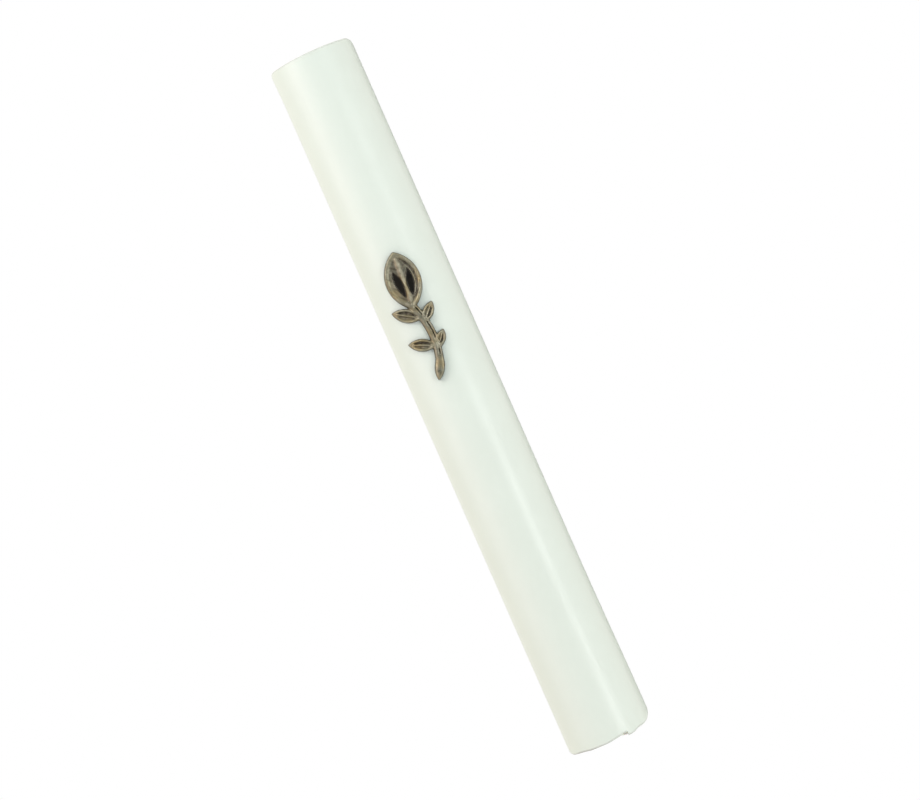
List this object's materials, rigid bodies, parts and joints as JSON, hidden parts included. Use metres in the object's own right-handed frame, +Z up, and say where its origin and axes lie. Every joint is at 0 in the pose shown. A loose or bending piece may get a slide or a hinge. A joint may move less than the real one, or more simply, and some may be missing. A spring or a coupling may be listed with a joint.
{
  "type": "mezuzah case",
  "caption": "Slim half-round white doorpost case with slide-on back plate, push-in bottom plug, cast leaf-sprig emblem and a rolled blank parchment inside.",
  "frame": {"origin": "middle of the foam tape's adhesive face, which lies on the doorpost, half way up the case", "axes": "+Z up along the case, +Y into the doorpost, so the half-round front faces -Y, +X to the right seen from the front"},
  "size_m": [0.0164, 0.0148, 0.1404],
  "materials": {
    "shell": "satin extruded PVC, white",
    "plug": "satin moulded PVC, white",
    "emblem": "antique pewter casting, brown patina with rubbed edges",
    "plate": "satin extruded PVC, white",
    "tape": "double-sided foam tape, light grey",
    "cork": "soft moulded polyethylene, off-white",
    "parchment": "scraped parchment, blank, cream",
    "film": "clear polythene film"
  },
  "bodies": {
    "back": {"back_plate": "plate", "foam_tape": "tape"},
    "case": {"front_shell": "shell", "top_plug": "plug", "emblem": "emblem"},
    "plug": {"bottom_plug": "cork"},
    "scroll": {"parchment_scroll": "parchment", "scroll_sleeve": "film"}
  },
  "joints": [
    {"name": "case_slide", "type": "slide", "parent": "back", "child": "case", "axis": [0, 0, 1], "range_m": [0, 0.136]},
    {"name": "plug_pull", "type": "slide", "parent": "case", "child": "plug", "axis": [0, 0, -1], "range_m": [0, 0.142]},
    {"name": "scroll_slide", "type": "slide", "parent": "case", "child": "scroll", "axis": [0, 0, -1], "range_m": [0, 0.135]}
  ],
  "couplings": [
    {"joint": "scroll_slide", "follows": "plug_pull", "ratio": 0.95}
  ]
}
